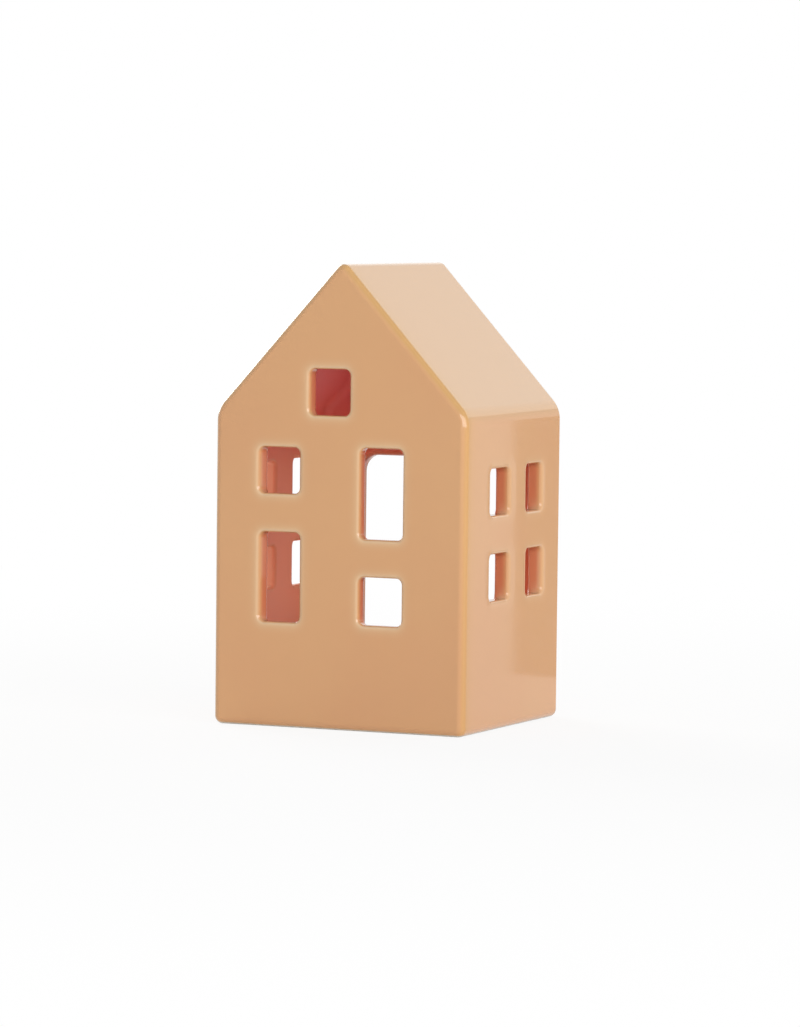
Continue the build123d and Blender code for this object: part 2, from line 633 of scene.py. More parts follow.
@dataclass(frozen=True)
class Opening:
    """Rounded rectangle on a wall: its middle, half sizes, corner radius and tapers in degrees."""

    across: float
    up: float
    half_width: float
    half_height: float
    corner: float = 1.9
    jamb_taper: float = 0.0
    sill_taper: float = 0.0

    def lean(self) -> Array:
        """How far the jambs, and the sill and head, close in for each millimetre of depth."""
        return np.tan(np.radians([self.jamb_taper, self.sill_taper]))

    def carried(self, reach: Array, depth: Array, spacing: float) -> tuple[Array, Array]:
        """Outline moved out by reach, and closed in by its taper at depth, for each pair of reach and depth.

        Args:
            reach: Distances from the outline.
            depth: Depths into the clay.
            spacing: Longest step along a straight side.

        Returns:
            Flat points, of shape (pairs, points, 2), and the outline's outward normals.
        """
        outline, outward = self.outline(spacing)
        return outline + (reach[:, None, None] - depth[:, None, None] * self.lean()) * outward, outward

    def outline(self, spacing: float, corner_steps: int = 9) -> tuple[Array, Array]:
        """Quarter arcs joined by straight sides, anticlockwise.

        Args:
            spacing: Longest step along a straight side.
            corner_steps: Chords in each corner.

        Returns:
            Points of the outline and its outward normals.
        """
        inner = np.array([self.half_width, self.half_height]) - self.corner
        signs = np.array([[1, 1], [-1, 1], [-1, -1], [1, -1]])
        middles = np.array([self.across, self.up]) + signs * inner
        points, normals = [], []
        for k in range(4):
            angle = np.linspace(k, k + 1, corner_steps + 1) * pi / 2.0
            bow = np.stack([np.cos(angle), np.sin(angle)], -1)
            start = middles[k] + self.corner * bow[-1]
            end = middles[(k + 1) % 4] + self.corner * bow[-1]
            steps = int(np.ceil(np.linalg.norm(end - start) / spacing))
            share = np.linspace(0.0, 1.0, steps + 1)[1:-1, None]
            points += [middles[k] + self.corner * bow, start * (1.0 - share) + end * share]
            normals += [bow, np.tile(bow[-1], (len(share), 1))]
        return np.concatenate(points), np.concatenate(normals)

    def distance(self, flat: Array) -> Array:
        """Signed distance from the outline, negative inside it.

        Args:
            flat: Places on the wall.

        Returns:
            One distance for each place.
        """
        inner = np.array([self.half_width, self.half_height]) - self.corner
        gap = np.abs(flat - np.array([self.across, self.up])) - inner
        beyond = np.linalg.norm(np.maximum(gap, 0.0), axis=-1)
        return beyond + np.minimum(gap.max(axis=-1), 0.0) - self.corner


@dataclass(frozen=True)
class RimShape:
    """Shape of a window's rim: its rounds, the dish round it, its pale glaze and painted bounce light above
    its sill.
    """

    wall: float = 4.6
    outer_radius: float = 1.0
    inner_radius: float = 1.6
    outer_reach: float = 3.4
    inner_reach: float = 1.2
    dish: float = 0.14
    pale: float = 1.0
    spread: float = 0.8
    # Painted bounce light on and above the sill, and the height over which it fades
    pool: float = 0.5
    sill_bounce_height: float = 1.2
    lined: float = 0.0


@dataclass(frozen=True)
class RimProfile:
    """Profile carried round an opening: reach from its outline, depth into the clay, direction and paint."""

    reach: Array
    depth: Array
    along: Array
    down: Array
    paint: Array
    # Painted bounce light above the sill for each profile point, and its fall-off height
    pool: Array
    sill_bounce_height: float

    @staticmethod
    def through_wall(shape: RimShape) -> "RimProfile":
        """Rim of a window: outer face, outer round, jamb, inner round and inner face, with a soft dish.

        The dish lowers the outer face by dish (1 - reach / end)^2, which fades with depth. The pale glaze
        falls off as exp(-distance / spread) on the face.

        Args:
            shape: Sizes of the rim.

        Returns:
            The profile, from the outer face to the inner one.
        """
        wall, outer, inner = shape.wall, shape.outer_radius, shape.inner_radius
        end = outer + shape.outer_reach
        a = np.linspace(0.0, pi / 2.0, 11)
        b = np.linspace(0.0, pi / 2.0, 8)
        face = np.linspace(end, outer, 11)[:-1]
        jamb = np.linspace(outer, wall - inner, 6)[1:-1]
        back = np.linspace(inner, inner + shape.inner_reach, 3)[1:]
        reach = np.concatenate([face, outer * (1 - np.sin(a)), 0 * jamb, inner * (1 - np.cos(b)), back])
        depth = np.concatenate([
            0 * face, outer * (1 - np.cos(a)), jamb, wall - inner * (1 - np.sin(b)), wall + 0 * back,
        ])
        along = np.concatenate([0 * face - 1, -np.cos(a), 0 * jamb, np.sin(b), 0 * back + 1])
        down = np.concatenate([0 * face, np.sin(a), 0 * jamb + 1, np.cos(b), 0 * back])
        left = np.clip(1.0 - reach / end, 0.0, None)
        fade = 1.0 - depth / wall
        slope = -2.0 * shape.dish * left * fade / end * along - shape.dish * left ** 2 / wall * down
        pale = np.exp(-np.clip(reach - 0.5 * outer, 0.0, None) / shape.spread)
        pale *= smooth_step(end, 0.6 * end, reach) * smooth_step(0.55, 0.12, depth / outer)
        # Painted highlight along the inner round
        inner_highlight = smooth_step(wall - 0.8, wall - 0.3, depth) * smooth_step(1.5, 0.6, reach)
        # Inside weight: painted shade into the jamb, then the lining tone
        lining = 0.5 * smooth_step(0.1, 2.8, depth) + 0.5 * smooth_step(wall - 1.0, wall, depth)
        paint = np.zeros((len(reach), len(Paint)))
        paint[:, Paint.BREAK_AND_LIGHT.column] = shape.pale * pale + 0.3 * inner_highlight
        paint[:, Paint.INSIDE.column] = np.maximum(lining, shape.lined * smooth_step(0.3, 1.6, depth))
        # Painted bounce light on the jamb above the sill
        pool = shape.pool * smooth_step(0.3, 1.0, depth) * smooth_step(wall, wall - 2.5, depth)
        sunk = depth + shape.dish * left ** 2 * fade
        return RimProfile(reach, sunk, along, down + slope, paint, pool, shape.sill_bounce_height)

    @staticmethod
    def foot_step(depth: float, radius: float, outer_reach: float, inner_reach: float) -> "RimProfile":
        """Step from the foot ring up into the shallow recess, with a round at its edge and in its corner.

        Args:
            depth: Depth of the recess.
            radius: Radius of both rounds.
            outer_reach: Width of the foot ring that belongs to the step.
            inner_reach: Width of the recess that belongs to the step.

        Returns:
            The profile, from the foot ring to the recess.
        """
        a = np.linspace(0.0, pi / 2.0, 5)
        face = np.linspace(radius + outer_reach, radius, 3)[:-1]
        roof = -np.linspace(radius, radius + inner_reach, 3)[1:]
        reach = np.concatenate([face, radius * (1 - np.sin(a)), radius * (np.cos(a) - 1), roof])
        height = np.concatenate([
            0 * face, radius * (1 - np.cos(a)), depth - radius * (1 - np.sin(a)), depth + 0 * roof,
        ])
        along = np.concatenate([0 * face - 1, -np.cos(a), -np.sin(a), 0 * roof - 1])
        down = np.concatenate([0 * face, np.sin(a), np.cos(a), 0 * roof])
        paint = np.zeros((len(reach), len(Paint)))
        return RimProfile(reach, height, along, down, paint, 0.0 * reach, 1.0)

    def carried_round(self, frame_of_wall: WallFrame, opening: Opening, spacing: float) -> Skin:
        """Carries the profile round an opening: outline + reach times its normal, at each depth.

        The normal is a quarter turn of the profile's direction, which the taper leans by depth. The pale is
        weaker at the sides, painted shade, and painted bounce light falls as exp(-height / sill bounce
        height) above the sill.

        Args:
            frame_of_wall: The flat side that the opening is in.
            opening: The opening.
            spacing: Longest step along its straight sides.

        Returns:
            The surface of the rim.
        """
        flat, outward = opening.carried(self.reach, self.depth, spacing)
        shape = flat.shape[:2]
        points = frame_of_wall.place(flat, np.broadcast_to(self.depth[:, None], shape))
        along = self.along[:, None] - self.down[:, None] * (outward ** 2 @ opening.lean())
        length = np.hypot(along, self.down[:, None])
        tilt = (-self.down[:, None] / length)[..., None] * outward
        normals = frame_of_wall.turn(tilt, along / length)
        paint = np.broadcast_to(self.paint[:, None], (*shape, len(Paint))).copy()
        # Painted bounce light, fading up from the sill
        above = np.clip(flat[..., 1] - opening.up + opening.half_height, 0.0, None)
        sill_lit = self.pool[:, None] * np.exp(-above / self.sill_bounce_height)
        # Painted shade: less pale on the side rims, which take less light
        pale = paint[..., Paint.BREAK_AND_LIGHT.column] * (1.0 - 0.3 * outward[:, 0] ** 2)
        paint[..., Paint.BREAK_AND_LIGHT.column] = np.maximum(pale, sill_lit)
        return Skin.from_grid(points, normals, paint, wrap=True)


@dataclass(frozen=True)
class Panel:
    """A flat region of the casting between its edge and the rims of its openings."""

    frame_of_wall: WallFrame
    depth: float
    facing: float
    edge: Array
    openings: tuple[Opening, ...]
    reach: float
    inside: float
    edge_light: float = 0.0

    def filled(self, spacing: float) -> Skin:
        """Fills the region with triangles between its edge, its holes and a grid of points.

        Args:
            spacing: Step of the grid, and of the holes' straight sides.

        Returns:
            The flat surface, whose border points match the surfaces around it.
        """
        ends = np.array([self.reach]), np.array([self.depth])
        rims = [opening.carried(*ends, spacing)[0][0] for opening in self.openings]
        loops = [self.edge, *rims]
        starts = np.cumsum([0] + [len(loop) for loop in loops[:-1]])
        borders = [np.stack([np.arange(len(loop)), np.roll(np.arange(len(loop)), -1)], -1) + start
                   for loop, start in zip(loops, starts)]
        low, high = self.edge.min(axis=0), self.edge.max(axis=0)
        across, up = (np.arange(low[k], high[k], spacing) for k in range(2))
        grid = np.stack(np.meshgrid(across, up), -1).reshape(-1, 2)
        clear = self.edge_room(grid)
        for opening in self.openings:
            clear = np.minimum(clear, opening.distance(grid) - self.reach)
        flat = np.concatenate([*loops, grid[clear > 0.6 * spacing]])
        result = delaunay_2d_cdt(flat.tolist(), np.concatenate(borders).tolist(), [], 0, 1e-6)
        triangles = np.array(result[2])
        a, b, c = (flat[triangles[:, k]] for k in range(3))
        (ux, uy), (vx, vy) = (b - a).T, (c - a).T
        area = np.abs(ux * vy - uy * vx)
        keep = area > 1e-5
        for rim in rims:
            keep &= ~self.within((a + b + c) / 3.0, rim)
        normals = np.tile(self.facing * np.array(self.frame_of_wall.inward), (len(flat), 1))
        paint = np.zeros((len(flat), len(Paint)))
        paint[:, Paint.INSIDE.column] = self.inside
        # Painted amber sheen, fading back from the lit front edge
        paint[:, Paint.EDGE.column] = self.edge_light * np.exp(-(flat[:, 0] - low[0]) / EDGE_LIGHT_SPREAD)
        return Skin(self.frame_of_wall.place(flat, self.depth), triangles[keep], normals, paint)

    @staticmethod
    def within(flat: Array, loop: Array) -> Array:
        """Whether each place lies in a loop: a ray along the first axis then crosses it oddly often.

        Args:
            flat: Places to test.
            loop: Corners of the loop.

        Returns:
            One truth value for each place.
        """
        ahead = np.roll(loop, -1, axis=0)
        level = flat[:, 1:]
        crosses = (loop[:, 1] > level) != (ahead[:, 1] > level)
        rise = np.where(ahead[:, 1] == loop[:, 1], 1.0, ahead[:, 1] - loop[:, 1])
        meets = loop[:, 0] + (level - loop[:, 1]) * (ahead[:, 0] - loop[:, 0]) / rise
        return (crosses & (flat[:, :1] < meets)).sum(axis=1) % 2 == 1

    def edge_room(self, flat: Array) -> Array:
        """Distance of each place from the nearest side of the convex edge, positive inside it.

        Args:
            flat: Places on the panel.

        Returns:
            One distance for each place.
        """
        ahead = np.roll(self.edge, -1, axis=0) - self.edge
        ahead /= np.linalg.norm(ahead, axis=1, keepdims=True)
        offset = flat[:, None] - self.edge[None]
        return (ahead[None, :, 0] * offset[..., 1] - ahead[None, :, 1] * offset[..., 0]).min(axis=1)


@dataclass(frozen=True)
class Shell:
    """One of the casting's two surfaces: the section carried along Y, with rounded ends."""

    section: GableSection
    half_depth: float
    end_radius: float
    facing: float
    inside: float
    # Strength of the painted light on the outer edges: highlight line, pale lift and amber sheen
    edge_light: float
    panels: frozenset[Side]
    end_steps: int = 16
    arc_steps: int = 12

    def stations(self, spacing: float) -> tuple[Array, Array, Array, Array]:
        """Steps along Y: a quarter round at each end and the straight length between them.

        Args:
            spacing: Longest step along the straight length.

        Returns:
            Place along Y, inset of the section, and the parts of the normal across and along Y.
        """
        angle = np.linspace(0.0, pi / 2.0, self.end_steps + 1)
        straight = self.half_depth - self.end_radius
        middle = np.linspace(-straight, straight, int(np.ceil(2.0 * straight / spacing)) + 1)[1:-1]
        front = -self.half_depth + self.end_radius * (1.0 - np.cos(angle))
        inset = self.end_radius * (1.0 - np.sin(angle))
        y = np.concatenate([front, middle, -front[::-1]])
        inset = np.concatenate([inset, 0.0 * middle, inset[::-1]])
        across = np.concatenate([np.sin(angle), 0.0 * middle + 1.0, np.sin(angle)[::-1]])
        along = np.concatenate([-np.cos(angle), 0.0 * middle, np.cos(angle)[::-1]])
        return y, inset, across, along

    def skins(self, spacing: float) -> list[Skin]:
        """Carries each run of the section along Y, leaving out the straight length of the panels.

        Each point is the section's point less its inset along the section's normal.

        Args:
            spacing: Longest step along straight lengths.

        Returns:
            The curved and plain surfaces of the shell.
        """
        y, inset, across, along = self.stations(spacing)
        skins = []
        for run in self.section.runs(spacing, self.arc_steps):
            flat = run.points[None] - inset[:, None, None] * run.normals[None]
            points = np.stack([flat[..., 0], np.broadcast_to(y[:, None], flat.shape[:2]), flat[..., 1]], -1)
            lean = across[:, None, None] * run.normals[None]
            forward = np.broadcast_to(along[:, None], flat.shape[:2])
            normals = np.stack([lean[..., 0], forward, lean[..., 1]], -1)
            paint = self.painted(run, y, np.degrees(np.arctan2(across, np.abs(along))))
            spans = [slice(None)]
            if run.side in self.panels:
                spans = [slice(0, self.end_steps + 1), slice(-self.end_steps - 1, None)]
            skins += [Skin.from_grid(points[s], self.facing * normals[s], paint[s]) for s in spans]
        return skins

    def painted(self, run: Run, y: Array, lean_angle: Array) -> Array:
        """Paint of a run: painted light on the rounded edges, an amber sheen on the front right ones and a
        pale lift on the left ones.

        The amber rises with the turn of the edge and falls as exp(-distance / spread) behind it; a painted
        highlight line runs along each.

        Args:
            run: Stretch of the section.
            y: Steps along Y.
            lean_angle: Turn of the surface at each step, in degrees from facing along Y.

        Returns:
            Weights on a grid of the steps by the run's points.
        """
        from_front = y + self.half_depth - self.end_radius
        rounded = from_front < 1e-6
        # Painted amber sheen: it rises up the front round, then fades back along the edge
        lit_falloff = np.exp(-np.clip(from_front, 0.0, None) / EDGE_LIGHT_SPREAD)
        edge_sheen = np.where(rounded, smooth_step(22.0, 58.0, lean_angle), lit_falloff)[:, None]
        # Painted light lifting the shaded edges that face away from the key light
        pale_share = (rounded * smooth_step(20.0, 60.0, lean_angle))[:, None]
        # Painted highlight line along each front round
        edge_highlight = (0.3 * rounded * np.exp(-((lean_angle - 56.0) / 9.0) ** 2))[:, None]
        # Edges that face the key light, towards +X
        facing_key = smooth_step(-0.5, 0.1, run.normals[:, 0])
        paint = np.zeros((len(y), len(run.points), len(Paint)))
        paint[..., Paint.BREAK_AND_LIGHT.column] = self.edge_light * (edge_highlight + 2.0 * pale_share * (1.0 - facing_key))
        paint[..., Paint.INSIDE.column] = self.inside
        paint[..., Paint.EDGE.column] = self.edge_light * edge_sheen * facing_key
        return paint

    def end_edge(self, spacing: float) -> Array:
        """Edge of the flat end faces: the section moved in by the end radius."""
        runs = self.section.runs(spacing, self.arc_steps)
        return np.concatenate([(run.points - self.end_radius * run.normals)[:-1] for run in runs])

    def side_edge(self, side: Side, spacing: float) -> Array:
        """Edge of a side's straight length, anticlockwise, with the place along the section second.

        Args:
            side: Floor or wall.
            spacing: Longest step along straight lengths.

        Returns:
            Corners of the edge as (Y, Z) on a wall, or (Y, X) on the floor.
        """
        y = self.stations(spacing)[0][self.end_steps:-self.end_steps]
        run = next(run for run in self.section.runs(spacing, self.arc_steps) if run.side is side)
        rise = np.sort(run.points[:, 0 if side is Side.FLOOR else 1])
        return np.concatenate([
            np.stack([y[:-1], np.full(len(y) - 1, rise[0])], -1),
            np.stack([np.full(len(rise) - 1, y[-1]), rise[:-1]], -1),
            np.stack([y[:0:-1], np.full(len(y) - 1, rise[-1])], -1),
            np.stack([np.full(len(rise) - 1, y[0]), rise[:0:-1]], -1),
        ])


@dataclass(frozen=True)
class SlipWarp:
    """Slow unevenness that drying and firing leave in the walls, as a sum of sine waves along X and Y."""

    height: float = 0.022
    lengths: tuple[float, ...] = (104.0, 71.0, 43.0)
    seed: int = 8

    def applied(self, points: Array, normals: Array) -> tuple[Array, Array]:
        """Moves points by sum of a sin(k . p + phase) and turns their normals by its gradient.

        Args:
            points: Points of the casting.
            normals: Their unit normals.

        Returns:
            The moved points and turned normals.
        """
        rng = np.random.default_rng(self.seed)
        moved, turned = points.copy(), normals.copy()
        for axis in (0, 1):
            for length in self.lengths:
                heading = rng.normal(size=3)
                heading *= 2.0 * pi / length / np.linalg.norm(heading)
                height = self.height * length / self.lengths[0]
                angle = points @ heading + rng.uniform(0.0, 2.0 * pi)
                moved[:, axis] += height * np.sin(angle)
                turned -= (height * np.cos(angle) * normals[:, axis])[:, None] * heading
        return moved, turned / np.linalg.norm(turned, axis=1, keepdims=True)


@dataclass(frozen=True)
class HouseCasting:
    """The house: one hollow casting with its windows, its rear opening and its foot."""

    width: float = 80.0
    depth: float = 71.0
    eave_height: float = 92.1
    roof_pitch: float = 47.7
    wall: float = 4.6
    floor_level: float = 5.8
    base_radius: float = 2.4
    eave_radius: float = 8.5
    ridge_radius: float = 2.6
    end_radius: float = 2.2
    chamber_radius: float = 3.0
    chamber_end_radius: float = 2.6
    # Strength of the painted light on the outer edges: highlight line, pale lift and amber sheen
    edge_light: float = 0.36
    spacing: float = 2.4
    front_windows: tuple[Opening, ...] = (
        Opening(-19.28, 74.8, 6.72, 6.7, jamb_taper=19.5),
        Opening(-19.0, 43.73, 6.7, 13.07, jamb_taper=19.5),
        Opening(13.25, 68.85, 6.85, 13.15, jamb_taper=5.0),
        Opening(13.15, 37.85, 6.85, 6.95, jamb_taper=5.0),
        Opening(-3.45, 97.8, 6.6, 6.7, jamb_taper=12.5),
    )
    right_windows: tuple[Opening, ...] = (
        Opening(-10.1, 44.58, 7.1, 6.78, jamb_taper=10.0),
        Opening(-10.1, 69.4, 7.1, 6.8, jamb_taper=10.0),
        Opening(16.05, 44.7, 6.45, 6.9, jamb_taper=15.0),
        Opening(15.1, 69.55, 6.0, 6.95, jamb_taper=12.0),
    )
    left_windows: tuple[Opening, ...] = (
        Opening(-10.43, 44.0, 6.78, 6.65, jamb_taper=3.0, sill_taper=8.0),
        Opening(-10.43, 69.28, 6.78, 6.65, jamb_taper=3.0, sill_taper=8.0),
        Opening(15.33, 44.28, 6.97, 6.85, jamb_taper=3.0, sill_taper=4.0),
        Opening(15.32, 69.3, 6.98, 6.7, jamb_taper=3.0, sill_taper=4.0),
    )
    rear_opening: tuple[Opening, ...] = (Opening(0.0, 43.8, 23.5, 32.6, 5.0),)
    foot_recess: Opening = Opening(0.0, 0.0, 30.0, 34.5, 4.0)
    recess_depth: float = 1.2
    end_rim: RimShape = RimShape(inner_reach=0.6)
    right_rim: RimShape = RimShape(inner_radius=0.9, pale=0.35, pool=0.8)
    # The left windows' jambs take the lining tone, with its painted bounce light, instead of the jambs'
    # painted shade
    left_rim: RimShape = RimShape(inner_radius=1.3, pale=0.35, lined=1.0)
    foot_radius: float = 0.4
    foot_reach: float = 1.0
    # Heights between which the glaze is wiped off the foot, and between which the roof's darker tone, painted
    # shade, begins
    foot_line: tuple[float, float] = (2.6, 1.4)
    roof_line: tuple[float, float] = (84.0, 90.0)
    warp: SlipWarp = SlipWarp()

    def section(self, inset: float, base: float, radii: tuple[float, float, float]) -> GableSection:
        """Cross-section moved in from the outside.

        Args:
            inset: Distance moved in, square to the walls and roof.
            base: Height that it stands on.
            radii: Corner radii at the base, the eaves and the ridge.

        Returns:
            The section.
        """
        pitch = radians(self.roof_pitch)
        half_width = self.width / 2.0 - inset
        ridge = self.eave_height + self.width / 2.0 * tan(pitch) - inset / cos(pitch)
        return GableSection(half_width, base, ridge - half_width * tan(pitch), ridge, *radii)

    def wall_frames(self) -> dict[str, WallFrame]:
        """Frames of the flat sides that hold openings, by name."""
        half_width, half_depth = self.width / 2.0, self.depth / 2.0
        return {
            "front": WallFrame((0.0, -half_depth, 0.0), (1, 0, 0), (0, 0, 1), (0, 1, 0)),
            "back": WallFrame((0.0, half_depth, 0.0), (1, 0, 0), (0, 0, 1), (0, -1, 0)),
            "right": WallFrame((half_width, 0.0, 0.0), (0, 1, 0), (0, 0, 1), (-1, 0, 0)),
            "left": WallFrame((-half_width, 0.0, 0.0), (0, 1, 0), (0, 0, 1), (1, 0, 0)),
            "base": WallFrame((0.0, 0.0, 0.0), (0, 1, 0), (1, 0, 0), (0, 0, 1)),
        }

    def skin(self) -> Skin:
        """Joins the outside, the chamber, the rims and the flat panels into one closed surface.

        Returns:
            The casting's surface, before it warps.
        """
        step = self.spacing
        walls = frozenset({Side.RIGHT_WALL, Side.LEFT_WALL})
        outer_radii = (self.base_radius, self.eave_radius, self.ridge_radius)
        inner_radii = (self.chamber_radius,) * 3
        outside = Shell(self.section(0.0, 0.0, outer_radii), self.depth / 2.0, self.end_radius,
                        1.0, 0.0, self.edge_light, walls | {Side.FLOOR})
        chamber = Shell(self.section(self.wall, self.floor_level, inner_radii), self.depth / 2.0 - self.wall,
                        self.chamber_end_radius, -1.0, 1.0, 0.0, walls)
        foot = RimProfile.foot_step(self.recess_depth, self.foot_radius, self.foot_reach, self.foot_reach)
        frames = self.wall_frames()
        holes = {
            "front": (self.front_windows, self.end_rim),
            "back": (self.rear_opening, self.end_rim),
            "right": (self.right_windows, self.right_rim),
            "left": (self.left_windows, self.left_rim),
        }
        sides = {"right": Side.RIGHT_WALL, "left": Side.LEFT_WALL}
        skins = outside.skins(step) + chamber.skins(step)
        for name, (openings, rim_shape) in holes.items():
            rim = RimProfile.through_wall(rim_shape)
            for shell in (outside, chamber):
                edge = shell.side_edge(sides[name], step) if name in sides else shell.end_edge(step)
                hidden = shell.inside > 0.5
                depth = self.wall if hidden else 0.0
                reach = rim.reach[-1] if hidden else rim.reach[0]
                # Only the right wall's panels carry the painted amber sheen
                lit_edge = shell.edge_light if name == "right" else 0.0
                panel = Panel(frames[name], depth, -shell.facing, edge, openings, reach, shell.inside, lit_edge)
                skins.append(panel.filled(step))
            skins += [rim.carried_round(frames[name], opening, step) for opening in openings]
        recess = self.foot_recess
        outer_edge = outside.side_edge(Side.FLOOR, step)
        ring = Panel(frames["base"], 0.0, -1.0, outer_edge, (recess,), foot.reach[0], 0.0)
        inner_edge = recess.carried(foot.reach[-1:], foot.depth[-1:], step)[0][0]
        roof = Panel(frames["base"], self.recess_depth, -1.0, inner_edge, (), 0.0, 0.0)
        skins += [ring.filled(step), roof.filled(step), foot.carried_round(frames["base"], recess, step)]
        return Skin.joined(skins).welded().outward()

    def build(self, glaze: bpy.types.Material) -> bpy.types.Object:
        """Warps the casting, fits it to its CAD node's box and dresses it.

        Args:
            glaze: Finish of the casting.

        Returns:
            The casting.
        """
        skin = self.skin()
        skin.points, skin.normals = self.warp.applied(skin.points, skin.normals)
        low, high = (np.array(corner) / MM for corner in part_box("house_shell"))
        least, most = skin.points.min(axis=0), skin.points.max(axis=0)
        skin.points = low + (skin.points - least) * (high - low) / (most - least)
        under = smooth_step(0.6, 0.95, -skin.normals[:, 2]) * smooth_step(*self.foot_line, skin.points[:, 2])
        glazed = 1.0 - skin.paint[:, Paint.INSIDE.column]
        skin.paint[:, Paint.FOOT.column] = under * glazed
        # Painted shade: the roof's darker tone on upward faces near the top
        above = smooth_step(0.08, 0.45, skin.normals[:, 2]) * smooth_step(*self.roof_line, skin.points[:, 2])
        skin.paint[:, Paint.ROOF.column] = above * glazed
        casting = skin.to_object("house_casting")
        casting.data.materials.append(glaze)
        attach(casting, "house")
        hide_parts("house_shell")
        return casting


def turned(profile: Array, steps: int, ripple: Array | float = 0.0) -> Array:
    """Carries a profile of (radius, height) round the Z axis: (r cos a, r sin a, z).

    Args:
        profile: Points of the profile.
        steps: Points round the axis.
        ripple: Change of radius, on a grid of profile points by steps round the axis.

    Returns:
        Grid of points, of shape (profile points, steps, 3).
    """
    angle = np.linspace(0.0, 2.0 * pi, steps, endpoint=False)
    radius = profile[:, :1] + ripple * np.ones((1, steps))
    height = np.broadcast_to(profile[:, 1:], radius.shape)
    return np.stack([radius * np.cos(angle), radius * np.sin(angle), height], -1)


@dataclass(frozen=True)
class Tealight:
    """A standard tealight: pressed cup, wax, wick and the tin disc that holds the wick."""

    stand: float = 5.8
    cup_wall: float = 0.3
    cup_base: float = 18.2
    cup_flat: float = 16.0
    cup_height: float = 15.6
    base_round: float = 1.0
    bead_ring: float = 18.55
    bead: float = 0.45
    flutes: int = 84
    flute_depth: float = 0.16
    wax_radius: float = 17.6
    wax_height: float = 12.4
    wax_round: float = 1.0
    wax_edge: float = 0.5
    wax_dish: float = 0.5
    wax_swell: float = 0.05
    wick_radius: float = 0.8
    wick_stand: float = 6.0
    wick_lean: float = 0.5
    wick_tip: float = 0.45
    braid_pitch: float = 2.4
    braid_relief: float = 0.13
    wick_bore: float = 0.85
    tin_radius: float = 6.5
    tin: float = 0.3
    collar: float = 1.25
    collar_height: float = 3.2
    collar_round: float = 0.15
    crimp_depth: float = 0.16
    fit: float = 0.05

    def cup(self, metal: bpy.types.Material) -> bpy.types.Object:
        """Cup: outer base and wall, rolled bead, then inner wall and floor, with flutes in the wall.

        Args:
            metal: Finish of the cup.

        Returns:
            The cup.
        """
        floor = self.stand + self.cup_wall
        bead_level = self.stand + self.cup_height - self.bead
        outer_round, inner_round = self.base_round, self.base_round - self.cup_wall
        rise = np.linspace(0.0, 1.0, 16)[1:-1, None]
        foot = arc((self.cup_base - outer_round, self.stand + outer_round), outer_round, 270, 360, 6)
        roll = arc((self.bead_ring, bead_level), self.bead, 250.5, 540, 18)
        heel_middle = (self.cup_base - self.cup_wall - inner_round, floor + inner_round)
        heel = arc(heel_middle, inner_round, 0, -90, 5)
        profile = np.concatenate([
            np.stack([np.linspace(0.0, self.cup_flat, 5), np.full(5, self.stand)], -1),
            foot, foot[-1] * (1 - rise) + roll[0] * rise,
            roll, roll[-1] * (1 - rise) + heel[0] * rise, heel,
            np.stack([np.linspace(self.cup_flat, 0.0, 5), np.full(5, floor)], -1),
        ])
        steps = self.flutes * 6
        height = profile[:, 1:]
        on_wall = smooth_step(floor + 1.2, floor + 2.6, height)
        on_wall = on_wall * smooth_step(bead_level - 0.7, bead_level - 2.0, height)
        wave = 0.5 + 0.5 * np.cos(np.linspace(0.0, 2.0 * pi * self.flutes, steps, endpoint=False))
        points = turned(profile, steps, -self.flute_depth * on_wall * wave)
        piece = Skin.from_grid(points, wrap=True).welded().outward().to_object("tealight_cup_pressed")
        return self.dress(piece, metal, "tealight", "tealight_cup", "cup_metal")

    def wax(self, paraffin: bpy.types.Material) -> bpy.types.Object:
        """Wax: a pocket for the tin below, a rounded edge, and a top that dips between wall and wick.

        The top sags by dish sin(pi share^0.6)^2 from the wick to the edge, with small swells round the axis.

        Args:
            paraffin: Finish of the wax.

        Returns:
            The wax.
        """
        floor = self.stand + self.cup_wall
        top = floor + self.wax_height
        pocket = self.tin_radius + self.fit
        neck = self.collar + self.fit
        low, mid = floor + self.tin + self.fit, floor + self.tin + self.collar_height + self.fit
        radius = np.linspace(self.wax_radius - self.wax_edge, self.wick_bore, 34)
        share = (radius - self.wick_bore) / (self.wax_radius - self.wick_bore)
        sag = self.wax_dish * np.sin(pi * share ** 0.6) ** 2
        rows = np.linspace(0.0, 1.0, 8)[1:-1, None]
        edge = arc((self.wax_radius - self.wax_edge, top - self.wax_edge), self.wax_edge, 0, 90, 5)
        heel = arc((self.wax_radius - self.wax_round, floor + self.wax_round), self.wax_round, 270, 360, 6)
        profile = np.concatenate([
            [[self.wick_bore, mid], [neck, mid], [neck, low], [pocket, low], [pocket, floor]],
            np.stack([np.linspace(pocket, heel[0, 0], 6)[1:-1], np.full(4, floor)], -1),
            heel, heel[-1] * (1 - rows) + edge[0] * rows, edge,
            np.stack([radius[1:], top - sag[1:]], -1),
            [[self.wick_bore, mid]],
        ])
        steps = 120
        points = turned(profile, steps)
        angle = np.linspace(0.0, 2.0 * pi, steps, endpoint=False)
        reach = np.hypot(points[..., 0], points[..., 1]) / self.wax_radius
        swell = np.sin(3.0 * angle + 0.7) * np.sin(pi * reach)
        swell += 0.6 * np.sin(5.0 * angle + 2.0) * np.sin(2.0 * pi * reach)
        on_top = smooth_step(top - 1.2, top - 0.7, points[..., 2]) * smooth_step(0.98, 0.8, reach)
        points[..., 2] -= self.wax_swell * (1.0 + swell) * on_top
        piece = Skin.from_grid(points, wrap=True).welded().outward().to_object("wax_disc")
        return self.dress(piece, paraffin, "candle", "tealight_wax", "wax")

